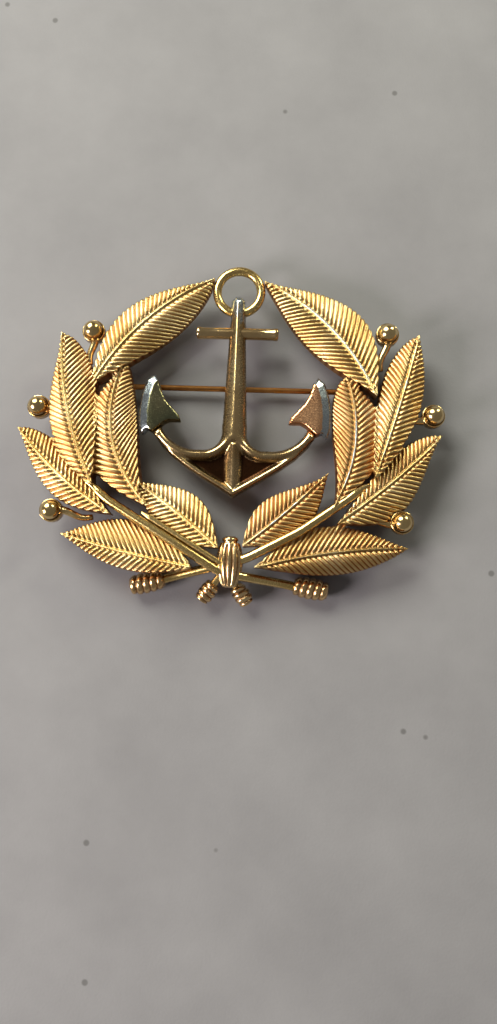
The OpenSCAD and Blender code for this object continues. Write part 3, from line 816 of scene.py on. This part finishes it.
def relief_piece(name, row, height, low, step, round_r, material):
    """A flat-backed piece with an outline and a top height that varies over it, its edge rounded."""
    row = finer(row, step)
    edges = np.c_[row, np.roll(row, -1, axis=0)]
    x0, y0 = row.min(0)
    x1, y1 = row.max(0)
    xs, ys = np.meshgrid(np.arange(x0, x1, step), np.arange(y0, y1, step * 0.87))
    xs[1::2] += step / 2
    grid = np.c_[xs.ravel(), ys.ravel()]
    grid = grid[inside(grid, edges)]
    off = gap_to(grid, edges)
    grid, off = grid[off > step * 0.55], off[off > step * 0.55]
    flat = [Vector(p) for p in row] + [Vector(p) for p in grid]
    n = len(row)
    ring = [(i, (i + 1) % n) for i in range(n)]
    points, _, faces, _, _, _ = delaunay_2d_cdt(flat, ring, [], 1, 1e-9)
    flat = np.array(points)
    off = gap_to(flat, edges)
    drop = round_r - np.sqrt(np.maximum(0, round_r**2 - np.maximum(0, round_r - off) ** 2))
    top = np.c_[flat, height(flat, off) - drop]
    mesh = bmesh.new()
    verts = [mesh.verts.new(p) for p in top]
    for face in faces:
        mesh.faces.new([verts[i] for i in face])
    mesh.faces.ensure_lookup_table()
    rim = [e for e in mesh.edges if e.is_boundary]
    wall = bmesh.ops.extrude_edge_only(mesh, edges=rim)["geom"]
    for v in wall:
        if isinstance(v, bmesh.types.BMVert):
            v.co.z = low
    floor_edges = [e for e in mesh.edges if e.is_boundary]
    bmesh.ops.triangle_fill(mesh, edges=floor_edges, use_beauty=True)
    bmesh.ops.recalc_face_normals(mesh, faces=mesh.faces)
    data = bpy.data.meshes.new(name)
    mesh.to_mesh(data)
    mesh.free()
    data.materials.append(material)
    data.polygons.foreach_set("use_smooth", [True] * len(data.polygons))
    made = bpy.data.objects.new(name, data)
    scene.collection.objects.link(made)
    for edge in data.edges:
        a, b = (data.vertices[i].co for i in edge.vertices)
        if a.z <= low + 1e-7 and b.z <= low + 1e-7:
            edge.use_edge_sharp = True
    return made


shank_loops = loops_of(back_outline(loose_copy("anchor_shank")))
ring_low, ring_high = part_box("anchor_ring")
ring_centre = np.array(((ring_low + ring_high) / 2).xy)
wire_r = (ring_high.z - ring_low.z) / 2
ring_r = (ring_high.x - ring_low.x) / 2
low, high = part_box("anchor_shank")
axis_x, crown_y, back, high_y = (low.x + high.x) / 2, low.y, low.z, high.y
# The ring's channel crosses the shank's back; the outline runs straight over it
chains = []
for row in shank_loops:
    off = np.abs(np.linalg.norm(row - ring_centre, axis=1) - (ring_r - wire_r))
    kept = off > 0.26 * MM
    first = np.flatnonzero(~kept & np.roll(kept, -1))
    row, kept = (np.roll(v, -first[0] - 1, axis=0) for v in (row, kept)) if len(first) else (row, kept)
    chains.append(row[kept])
edge_row = chains[0]
for chain in chains[1:]:
    if np.linalg.norm(chain[0] - edge_row[-1]) > np.linalg.norm(chain[-1] - edge_row[-1]):
        chain = chain[::-1]
    edge_row = np.vstack([edge_row, chain])
outline = np.c_[edge_row, np.roll(edge_row, -1, axis=0)]
RIM_Y = 6.9 * MM  # height over the crown's point where the arms' upper edges meet the shank
BAND_W = 1.65 * MM  # the round band along the arms' upper edge
LIP_W = 1.15 * MM  # the lip along their lower edge
FALL = 0.9 * MM  # the step from band, lip and spine down into the hollows
HOLLOW_Z = 1.05 * MM
starts, ends = outline[:, :2], outline[:, 2:]
mids = (starts + ends) / 2
off_axis = np.abs(mids[:, 0] - axis_x)
lower = (mids[:, 1] - crown_y) < off_axis * 0.72 + 0.35 * MM
under, inner = outline[lower], outline[~lower]


def anchor_height(p, off):
    """Height of the anchor's top: a roof on the shank, a round band along the arms' inner edge."""
    d_in, d_out = gap_to(p, inner), gap_to(p, under)
    x, y = np.abs(p[:, 0] - axis_x), p[:, 1] - crown_y
    shank = 1.5 * MM + 1.05 * MM * (1 - (1 - np.clip(d_in / (1.7 * MM), 0, 1)) ** 1.6)
    t = np.clip(d_in / BAND_W, 0, 1)
    band = 1.4 * MM + 0.85 * MM * np.sin(np.pi * (0.08 + 0.92 * t))
    band -= FALL * blend(d_in, 0.9 * BAND_W, 1.25 * BAND_W)
    t = np.clip(d_out / LIP_W, 0, 1)
    lip = 1.3 * MM + 0.7 * MM * np.sin(np.pi * (0.1 + 0.9 * t))
    lip -= FALL * blend(d_out, 0.9 * LIP_W, 1.3 * LIP_W)
    spine = 2.4 * MM - 0.1 * (RIM_Y - y) - 0.75 * x - FALL * blend(x, 1.0 * MM, 1.5 * MM)
    arm = np.maximum(np.maximum(band, lip), HOLLOW_Z)
    on_shank = blend(y, RIM_Y - 0.3 * MM, RIM_Y + 1.9 * MM) * (1 - blend(x, 1.9 * MM, 3.4 * MM))
    h = arm * (1 - on_shank) + shank * on_shank
    return back + np.minimum(np.maximum(h, np.where(y < RIM_Y + 1 * MM, spine, 0)), high.z - back)


anchor = relief_piece("cast_anchor", edge_row, anchor_height, back, 0.24 * MM, 0.3 * MM, anchor_gilt)
co, no = points_of(anchor)
# Painted shade: near-black on the low hollow facets at the crown, half as dark on the steep faces
steep_shade = 1 - blend(np.abs(no[:, 2]), 0.75, 0.97)
top_rub = np.clip((co[:, 1] - (high_y - 9 * MM)) / (9 * MM), 0, 1) * 0.7
sunk = (co[:, 2] < back + 1.2 * MM) & (no[:, 2] > 0.5)
paint(anchor, np.maximum(steep_shade * 0.5, np.where(sunk, 1.0, 0)), top_rub)
finish(anchor, "badge", ["anchor_shank"])

# The left palm is painted green, a painted reflection of green light; the right one
# is coppery, and both take a painted grey reflection down their backs.
GREEN_STOPS = [(0.35, "6c7058"), (0.65, "a8a07c")]
GREEN_DEEP = [(0.3, "6e5020"), (0.7, "8a6a30")]
green = gilt_metal("gilt_painted_green_reflection", GREEN_STOPS, GREEN_DEEP, 0.2, 0.3)
COPPER_STOPS = [(0.3, "c88e62"), (0.7, "e6b48a")]
COPPER_DEEP = [(0.3, "7a4020"), (0.7, "9a5a30")]
coppery = gilt_metal("gilt_coppery_tint", COPPER_STOPS, COPPER_DEEP, 0.24, 0.2)
for side, sign, metal in (("left", -1, green), ("right", 1, coppery)):
    node = "fluke_" + side
    edges = back_outline(loose_copy(node))
    row = loops_of(edges)[0]
    under_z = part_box(node)[0].z
    mids = (edges[:, :2] + edges[:, 2:]) / 2
    facing = np.c_[edges[:, 3] - edges[:, 1], edges[:, 0] - edges[:, 2]]
    facing /= np.linalg.norm(facing, axis=1)[:, None]
    facing[inside(mids + facing * 0.04 * MM, edges)] *= -1
    behind = edges[facing[:, 0] * sign > 0.6]

    def palm_height(p, off):
        back_gap = gap_to(p, behind)
        face = 2.38 * MM - 0.5 * MM * np.clip((sign * (axis_x - p[:, 0]) + 12 * MM) / (4 * MM), 0, 1)
        return under_z + np.minimum(face, 1.72 * MM + 0.5 * back_gap)

    palm = relief_piece("cast_" + node, row, palm_height, under_z, 0.2 * MM, 0.14 * MM, metal)
    co, no = points_of(palm)
    back_band = 1 - blend(gap_to(co[:, :2], behind), 1.1 * MM, 1.45 * MM)
    # Painted shade on the steep sides, and the painted grey reflection down the back
    paint(palm, np.where(no[:, 2] < 0.5, 0.6, 0.0), back_band * 0.75)
    finish(palm, "badge", [node])

# The stock is a round rod through the shank, with a small bead turned at each end.
low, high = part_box("anchor_stock")
middle, radius = (low + high) / 2, (high.z - low.z) / 2
half = (high.x - low.x) / 2
# Shares of the half-length and of the radius, from the left end to the middle, and then mirrored
shape = [(-1, 0.0), (-0.998, 0.7), (-0.985, 0.93), (-0.96, 1.0)]
shape += [(-0.9, 1.0), (-0.885, 0.95), (-0.5, 0.93), (0, 0.95)]
shape += [(-x, r) for x, r in shape[-2::-1]]
path = [np.array((middle.x + half * x, middle.y, middle.z)) for x, r in shape]
rings = [ring_of(p, ACROSS, max(r, 0.02) * radius, 40) for p, (x, r) in zip(path, shape)]
stock = joined("turned_stock", [rings], anchor_gilt)
co, no = points_of(stock)
# Painted shade on the underside of the rod
paint(stock, np.clip(0.1 - no[:, 2], 0, 0.6), np.zeros(len(co)))
finish(stock, "badge", ["anchor_stock"])

# The ring is bent from round wire and closed by a soldered joint that shows as
# a faint swelling behind the shank.
middle = np.array((ring_low + ring_high) / 2)
mean_r = ring_r - wire_r
rings, n, around = [], 120, 28
for k in range(n):
    a = 2 * np.pi * k / n - np.pi / 2
    out = np.array((math.cos(a), math.sin(a), 0))
    swell = 0.96 + 0.04 * math.exp(-((k if k < n / 2 else n - k) / 3) ** 2) + 0.01 * math.sin(5 * a)
    rings.append(ring_of(middle + out * mean_r, np.cross((0, 0, 1), out), wire_r * swell, around, out))
points = [p for ring in rings for p in ring]
faces = []
for i in range(n):
    for k in range(around):
        a, b = i * around + k, i * around + (k + 1) % around
        c, d = (i + 1) % n * around + k, (i + 1) % n * around + (k + 1) % around
        faces.append((a, b, d, c))
ring = mesh_object("wire_ring", points, faces, stem_gilt)
outward(ring)
co, no = points_of(ring)
# Painted shade on the underside of the wire
paint(ring, np.clip(0.1 - no[:, 2], 0, 0.6), np.zeros(len(co)))
finish(ring, "badge", ["anchor_ring"])

# ---- Pin, hinge and catch ----
# A brass wire pin swings on a riveted hinge and drops into a roller catch. The
# pin is copper-brown from handling; hinge and catch are nickel plated.
copper, tree, shader, where = new_material("brown_brass_wire")
drift = add(tree, "ShaderNodeTexNoise", Vector=where, Scale=420.0, Detail=4.0).outputs[0]
tree.links.new(ramp(tree, drift, [(0.3, "96602e"), (0.7, "c08a50")]), shader.inputs["Base Color"])
shader.inputs["Metallic"].default_value = 1.0
turn = add(tree, "ShaderNodeMapping", Vector=where, Scale=(60.0, 6000.0, 6000.0)).outputs[0]
drawn = add(tree, "ShaderNodeTexNoise", Vector=turn, Scale=1.0, Detail=2.0).outputs[0]
dull = add(tree, "ShaderNodeMapRange", i0=drawn, i3=0.18, i4=0.42).outputs[0]
tree.links.new(dull, shader.inputs["Roughness"])
lines = add(tree, "ShaderNodeBump", Height=drawn, Strength=0.15, Distance=0.00003)
tree.links.new(lines.outputs[0], shader.inputs["Normal"])

nickel, tree, shader, where = new_material("nickel_plate")
cloud = add(tree, "ShaderNodeTexNoise", Vector=where, Scale=700.0, Detail=5.0).outputs[0]
tree.links.new(ramp(tree, cloud, [(0.3, "a8a49a"), (0.7, "c4c1b8")]), shader.inputs["Base Color"])
shader.inputs["Metallic"].default_value = 1.0
dull = add(tree, "ShaderNodeMapRange", i0=cloud, i3=0.25, i4=0.45).outputs[0]
tree.links.new(dull, shader.inputs["Roughness"])
scratch = add(tree, "ShaderNodeTexNoise", Vector=where, Scale=3800.0, Detail=3.0).outputs[0]
marks = add(tree, "ShaderNodeBump", Height=scratch, Strength=0.2, Distance=0.00003)
tree.links.new(marks.outputs[0], shader.inputs["Normal"])

for node, body, material, slot in (
    ("pin_stem", "pin", copper, "pin_wire"),
    ("hinge_bracket", "badge", nickel, "nickel_brass"),
    ("hinge_rivet", "badge", nickel, "nickel_brass"),
    ("catch_housing", "badge", nickel, "nickel_brass"),
    ("catch_roller", "catch", nickel, "nickel_brass"),
):
    solid = loose_copy(node)
    bmesh.ops.dissolve_limit(solid, angle_limit=math.radians(1.0), verts=solid.verts, edges=solid.edges)
    sharp = [e for e in solid.edges if e.is_manifold and e.calc_face_angle(0) > math.radians(40)]
    width = 0.03 * MM if node in ("pin_stem", "hinge_rivet") else 0.05 * MM
    bmesh.ops.bevel(
        solid, geom=sharp, offset=width, segments=2, affect="EDGES", profile=0.5, clamp_overlap=True
    )
    bmesh.ops.recalc_face_normals(solid, faces=solid.faces)
    data = bpy.data.meshes.new("made_" + node)
    solid.to_mesh(data)
    solid.free()
    data.materials.append(material)
    made = bpy.data.objects.new("made_" + node, data)
    scene.collection.objects.link(made)
    data.polygons.foreach_set("use_smooth", [True] * len(data.polygons))
    data.set_sharp_from_angle(angle=math.radians(32))
    finish(made, body, [node])
